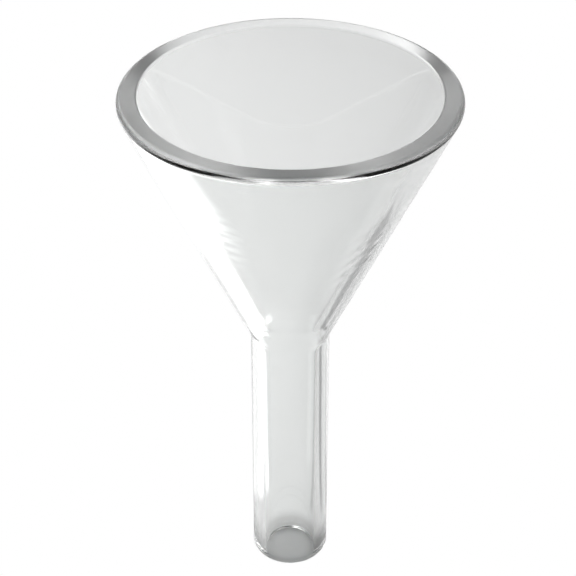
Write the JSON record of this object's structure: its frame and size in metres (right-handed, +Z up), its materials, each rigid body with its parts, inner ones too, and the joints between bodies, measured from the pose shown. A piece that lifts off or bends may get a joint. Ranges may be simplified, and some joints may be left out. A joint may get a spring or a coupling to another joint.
{
  "type": "funnel",
  "caption": "Heavy-wall clear glass laboratory funnel: a conical bowl with a rim ground flat, on a short thick-walled stem with a square-cut outlet.",
  "frame": {"origin": "centre of the stem's square-cut lower end, which is the lowest point of the funnel", "axes": "+Z up the funnel's axis of revolution, from the outlet to the mouth; X and Y are free, because the funnel is round"},
  "size_m": [0.04, 0.04, 0.0695],
  "materials": {
    "clear_glass": "clear colourless glass, smooth, with the rim's top face ground and the outlet fire polished; borosilicate is assumed"
  },
  "bodies": {
    "root": {"rim": "clear_glass", "bowl": "clear_glass", "neck_seal": "clear_glass", "stem": "clear_glass", "outlet_tip": "clear_glass"}
  },
  "joints": []
}
